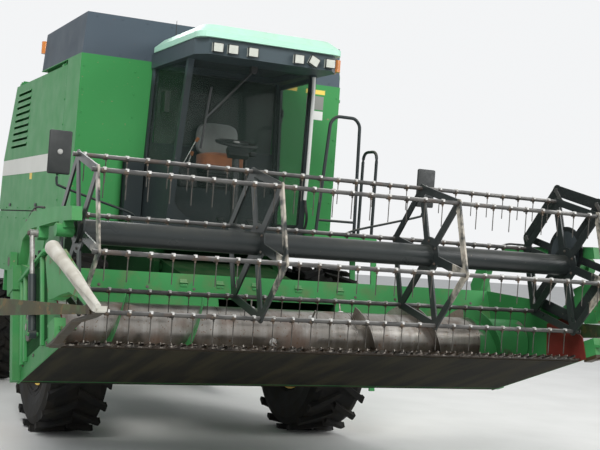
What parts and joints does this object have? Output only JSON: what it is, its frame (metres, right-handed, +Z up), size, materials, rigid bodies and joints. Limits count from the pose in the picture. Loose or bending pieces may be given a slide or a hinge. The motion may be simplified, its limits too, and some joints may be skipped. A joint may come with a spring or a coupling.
{
  "type": "self-propelled combine harvester with a raised grain header",
  "caption": "Self-propelled combine harvester with a raised grain header, pickup reel, auger, cab, open grain tank, stowed unloading tube and steered rear wheels.",
  "frame": {"origin": "on the ground, straight below the middle of the front axle", "axes": "+Z up, the machine faces -Y, its own left side is +X"},
  "size_m": [5.084, 9.1539, 4],
  "materials": {
    "green_paint": "satin",
    "pale_green_paint": "satin",
    "charcoal_paint": "satin",
    "tank_paint": "matte",
    "yellow_paint": "satin",
    "red_primer": "matte",
    "worn_steel": "satin",
    "bright_rod": "polished",
    "cast": "matte",
    "tyre_rubber": "matte",
    "dark_plastic": "matte",
    "tinted_glass": "polished",
    "seat_cloth": "matte",
    "lamp_lens": "gloss",
    "amber_lens": "gloss"
  },
  "bodies": {
    "machine": {"chassis_frame": "green_paint", "front_axle": "green_paint", "rear_axle": "green_paint", "engine_block": "cast", "threshing_housing": "green_paint", "grain_tank": "green_paint", "tank_extension": "tank_paint", "lower_panels": "green_paint", "rear_hood": "green_paint", "engine_deck": "green_paint", "cab_base": "charcoal_paint", "cab_frame": "charcoal_paint", "cab_roof": "pale_green_paint", "cab_glass": "tinted_glass", "seat": "seat_cloth", "steering_column": "dark_plastic", "service_platform": "charcoal_paint", "handrails": "charcoal_paint", "mirrors": "dark_plastic", "work_lamps": "lamp_lens", "signal_lamps": "amber_lens", "wiper": "dark_plastic", "unloading_elbow": "green_paint"},
    "front_wheel_right": {"front_tyre_right": "tyre_rubber", "front_rim_right": "yellow_paint"},
    "front_wheel_left": {"front_tyre_left": "tyre_rubber", "front_rim_left": "yellow_paint"},
    "rear_wheel_right": {"rear_tyre_right": "tyre_rubber", "rear_rim_right": "yellow_paint"},
    "rear_wheel_left": {"rear_tyre_left": "tyre_rubber", "rear_rim_left": "yellow_paint"},
    "knuckle_right": {"knuckle_right": "green_paint"},
    "knuckle_left": {"knuckle_left": "green_paint"},
    "tie_rod": {"tie_rod": "charcoal_paint"},
    "unloading_tube": {"unloading_tube": "green_paint"},
    "cab_door": {"cab_door": "charcoal_paint", "cab_door_glass": "tinted_glass"},
    "side_shield_right": {"side_shield_right": "green_paint"},
    "side_shield_left": {"side_shield_left": "green_paint"},
    "header": {"feeder_house": "green_paint", "header_frame": "green_paint", "header_ends": "red_primer", "dividers": "green_paint", "cutterbar": "cast"},
    "header_auger": {"header_auger": "worn_steel"},
    "lift_barrels": {"lift_barrels": "charcoal_paint"},
    "lift_rods": {"lift_rods": "bright_rod"},
    "reel_arms": {"reel_arms": "green_paint"},
    "reel_barrels": {"reel_barrels": "charcoal_paint"},
    "reel_rods": {"reel_rods": "bright_rod"},
    "reel": {"reel_frame": "charcoal_paint"},
    "reel_eccentric": {"reel_eccentric": "charcoal_paint"},
    "reel_bat_1": {"reel_bat_1": "worn_steel"},
    "reel_bat_2": {"reel_bat_2": "worn_steel"},
    "reel_bat_3": {"reel_bat_3": "worn_steel"},
    "reel_bat_4": {"reel_bat_4": "worn_steel"},
    "reel_bat_5": {"reel_bat_5": "worn_steel"},
    "reel_bat_6": {"reel_bat_6": "worn_steel"}
  },
  "joints": [
    {"name": "front_wheel_right_spin", "type": "hinge", "parent": "machine", "child": "front_wheel_right", "pos_m": [-1.31, 0, 0.85], "axis": [1, 0, 0], "continuous": true},
    {"name": "front_wheel_left_spin", "type": "hinge", "parent": "machine", "child": "front_wheel_left", "pos_m": [1.31, 0, 0.85], "axis": [1, 0, 0], "continuous": true},
    {"name": "steer_right", "type": "hinge", "parent": "machine", "child": "knuckle_right", "pos_m": [-0.98, 3.65, 0.62], "axis": [0, 0, 1], "range_deg": [-35, 35]},
    {"name": "steer_left", "type": "hinge", "parent": "machine", "child": "knuckle_left", "pos_m": [0.98, 3.65, 0.62], "axis": [0, 0, 1], "range_deg": [-35, 35]},
    {"name": "tie_rod_pivot", "type": "hinge", "parent": "knuckle_right", "child": "tie_rod", "pos_m": [-0.98, 3.85, 0.495], "axis": [0, 0, 1], "range_deg": [-35, 35]},
    {"name": "rear_wheel_right_spin", "type": "hinge", "parent": "knuckle_right", "child": "rear_wheel_right", "pos_m": [-1.28, 3.65, 0.62], "axis": [1, 0, 0], "continuous": true},
    {"name": "rear_wheel_left_spin", "type": "hinge", "parent": "knuckle_left", "child": "rear_wheel_left", "pos_m": [1.28, 3.65, 0.62], "axis": [1, 0, 0], "continuous": true},
    {"name": "unloading_tube_swing", "type": "hinge", "parent": "machine", "child": "unloading_tube", "pos_m": [1.565, 0.64, 3.6], "axis": [0, 0, 1], "range_deg": [-95, 0]},
    {"name": "cab_door_swing", "type": "hinge", "parent": "machine", "child": "cab_door", "pos_m": [0.71243, -0.20362, 2.8001], "axis": [-0.0292, 0, 0.9996], "range_deg": [0, 85]},
    {"name": "side_shield_right_lift", "type": "hinge", "parent": "machine", "child": "side_shield_right", "pos_m": [-1.355, 1.6, 3.563], "axis": [0, 1, 0], "range_deg": [0, 65]},
    {"name": "side_shield_left_lift", "type": "hinge", "parent": "machine", "child": "side_shield_left", "pos_m": [1.355, 1.6, 3.563], "axis": [0, -1, 0], "range_deg": [0, 65]},
    {"name": "header_lift", "type": "hinge", "parent": "machine", "child": "header", "pos_m": [0, -0.47, 1.62], "axis": [1, 0, 0], "range_deg": [0, 22]},
    {"name": "lift_barrel_swing", "type": "hinge", "parent": "machine", "child": "lift_barrels", "pos_m": [0, -0.22, 0.72], "axis": [1, 0, 0], "range_deg": [0, 20]},
    {"name": "lift_rod_slide", "type": "slide", "parent": "lift_barrels", "child": "lift_rods", "axis": [0, -0.983, 0.1839], "range_m": [-0.36, 0]},
    {"name": "auger_spin", "type": "hinge", "parent": "header", "child": "header_auger", "pos_m": [0, -2.43273, 1.19061], "axis": [1, 0, 0], "continuous": true},
    {"name": "reel_lift", "type": "hinge", "parent": "header", "child": "reel_arms", "pos_m": [0, -1.77241, 1.64012], "axis": [-1, 0, 0], "range_deg": [0, 25]},
    {"name": "reel_barrel_swing", "type": "hinge", "parent": "header", "child": "reel_barrels", "pos_m": [0, -2.71506, 1.1662], "axis": [-1, 0, 0], "range_deg": [0, 5]},
    {"name": "reel_rod_slide", "type": "slide", "parent": "reel_barrels", "child": "reel_rods", "axis": [0, 0.3256, 0.9455], "range_m": [0, 0.33]},
    {"name": "reel_spin", "type": "hinge", "parent": "reel_arms", "child": "reel", "pos_m": [0, -3.18893, 1.92163], "axis": [1, 0, 0], "continuous": true},
    {"name": "reel_eccentric_spin", "type": "hinge", "parent": "reel_arms", "child": "reel_eccentric", "pos_m": [2.11, -3.09893, 2.02163], "axis": [1, 0, 0], "continuous": true},
    {"name": "reel_bat_1_turn", "type": "hinge", "parent": "reel", "child": "reel_bat_1", "pos_m": [0, -3.56452, 2.33295], "axis": [1, 0, 0], "continuous": true},
    {"name": "reel_bat_2_turn", "type": "hinge", "parent": "reel", "child": "reel_bat_2", "pos_m": [0, -3.02051, 2.45256], "axis": [1, 0, 0], "continuous": true},
    {"name": "reel_bat_3_turn", "type": "hinge", "parent": "reel", "child": "reel_bat_3", "pos_m": [0, -2.64492, 2.04124], "axis": [1, 0, 0], "continuous": true},
    {"name": "reel_bat_4_turn", "type": "hinge", "parent": "reel", "child": "reel_bat_4", "pos_m": [0, -2.81334, 1.51031], "axis": [1, 0, 0], "continuous": true},
    {"name": "reel_bat_5_turn", "type": "hinge", "parent": "reel", "child": "reel_bat_5", "pos_m": [0, -3.35735, 1.3907], "axis": [1, 0, 0], "continuous": true},
    {"name": "reel_bat_6_turn", "type": "hinge", "parent": "reel", "child": "reel_bat_6", "pos_m": [0, -3.73294, 1.80202], "axis": [1, 0, 0], "continuous": true}
  ],
  "couplings": [
    {"joint": "steer_left", "follows": "steer_right", "ratio": 1},
    {"joint": "tie_rod_pivot", "follows": "steer_right", "ratio": -1},
    {"joint": "lift_barrel_swing", "follows": "header_lift", "ratio": 0.8039},
    {"joint": "lift_rod_slide", "follows": "header_lift", "m_per_rad": -0.8871},
    {"joint": "reel_barrel_swing", "follows": "reel_lift", "ratio": 0.1482},
    {"joint": "reel_rod_slide", "follows": "reel_lift", "m_per_rad": 0.719},
    {"joint": "reel_eccentric_spin", "follows": "reel_spin", "ratio": 1},
    {"joint": "reel_bat_1_turn", "follows": "reel_spin", "ratio": -1},
    {"joint": "reel_bat_2_turn", "follows": "reel_spin", "ratio": -1},
    {"joint": "reel_bat_3_turn", "follows": "reel_spin", "ratio": -1},
    {"joint": "reel_bat_4_turn", "follows": "reel_spin", "ratio": -1},
    {"joint": "reel_bat_5_turn", "follows": "reel_spin", "ratio": -1},
    {"joint": "reel_bat_6_turn", "follows": "reel_spin", "ratio": -1}
  ]
}
